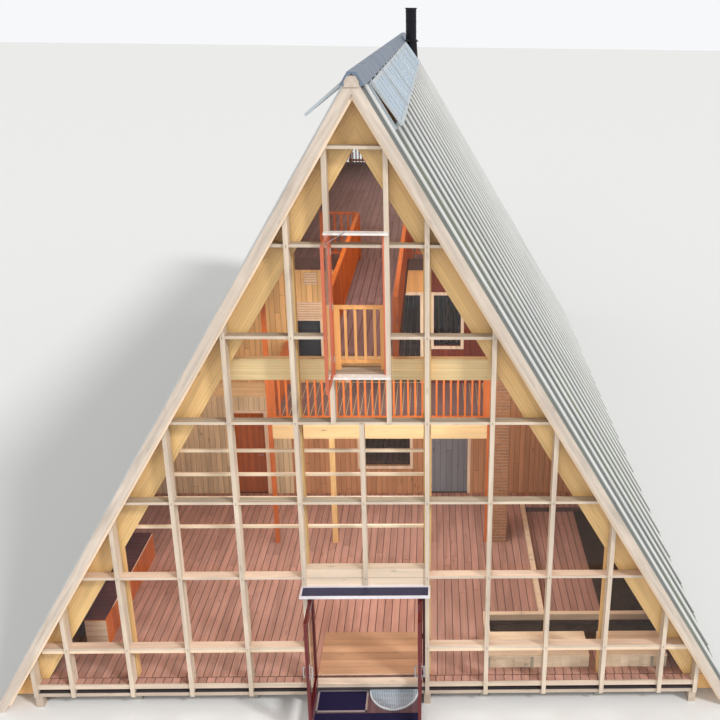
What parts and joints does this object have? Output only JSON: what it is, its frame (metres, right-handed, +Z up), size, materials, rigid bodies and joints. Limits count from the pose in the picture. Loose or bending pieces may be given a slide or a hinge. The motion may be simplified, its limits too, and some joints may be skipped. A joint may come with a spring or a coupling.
{
  "type": "a-frame cabin with glazed gable",
  "caption": "A-frame timber cabin with a glazed gable, ribbed roofs down to the ground, an outward double door, an upper opening with a gate, and floors inside.",
  "frame": {"origin": "on the ground, under the middle of the front of the glazed gable", "axes": "+X to the right along the gable, +Y into the depth of the building, +Z up"},
  "size_m": [12.6558, 23.4, 11.28],
  "materials": {
    "brick": "rough",
    "cap_metal": "satin",
    "deck_board": "oiled red brown",
    "flue_black": "matt",
    "glass": "clear",
    "glulam": "oiled",
    "lining": "plain plywood",
    "pale_timber": "planed",
    "plinth": "rough",
    "red_paint": "satin",
    "roof_deck": "rough",
    "roof_sheet": "weathered",
    "steel": "brushed",
    "wall_board": "light",
    "weathered_timber": "weathered grey"
  },
  "bodies": {
    "house": {"back_frame": "weathered_timber", "back_glass": "glass", "back_mullions": "weathered_timber", "back_sill": "weathered_timber", "back_transoms": "weathered_timber", "barge_boards_back": "weathered_timber", "barge_boards_front": "weathered_timber", "brick_pier": "brick", "casement_frame": "red_paint", "casement_leaf_glass": "glass", "deck_boxes": "pale_timber", "door_canopy": "cap_metal", "door_floor_panel": "pale_timber", "door_frame": "red_paint", "door_lintel": "weathered_timber", "door_step": "weathered_timber", "door_threshold": "weathered_timber", "first_floor": "glulam", "first_floor_balustrade": "red_paint", "first_floor_wall": "wall_board", "flue": "flue_black", "front_glass": "glass", "front_mullions": "weathered_timber", "front_posts": "glulam", "front_rafters": "glulam", "front_sill": "weathered_timber", "front_transoms": "weathered_timber", "gate_balustrade": "red_paint", "gate_sill": "weathered_timber", "ground_deck": "deck_board", "ground_wall": "wall_board", "lining_left": "lining", "lining_right": "lining", "loft_balustrade": "red_paint", "loft_floor": "deck_board", "plinths": "plinth", "rake_battens": "pale_timber", "ridge_cap": "cap_metal", "roof_left": "roof_deck", "roof_right": "roof_deck", "roof_sheets_left": "roof_sheet", "roof_sheets_right": "roof_sheet", "terrace_posts": "red_paint", "tie_beam": "glulam", "trellis_rails": "pale_timber", "upper_ledges": "weathered_timber", "vent_curbs": "cap_metal", "vent_frames": "cap_metal", "vent_glass": "glass", "walkway": "deck_board", "walkway_balustrades": "red_paint", "wall_doors": "red_paint", "wall_glass": "glass"},
    "door_left": {"door_left_frame": "red_paint", "door_left_glass": "glass", "door_left_handle": "steel"},
    "door_right": {"door_right_frame": "red_paint", "door_right_glass": "glass", "door_right_handle": "steel"}
  },
  "joints": [
    {"name": "door_left_hinge", "type": "hinge", "parent": "house", "child": "door_left", "pos_m": [-0.921, 0.048, 1.28], "axis": [0, 0, 1], "range_deg": [0, 90]},
    {"name": "door_right_hinge", "type": "hinge", "parent": "house", "child": "door_right", "pos_m": [0.921, 0.048, 1.28], "axis": [0, 0, -1], "range_deg": [0, 90]}
  ]
}
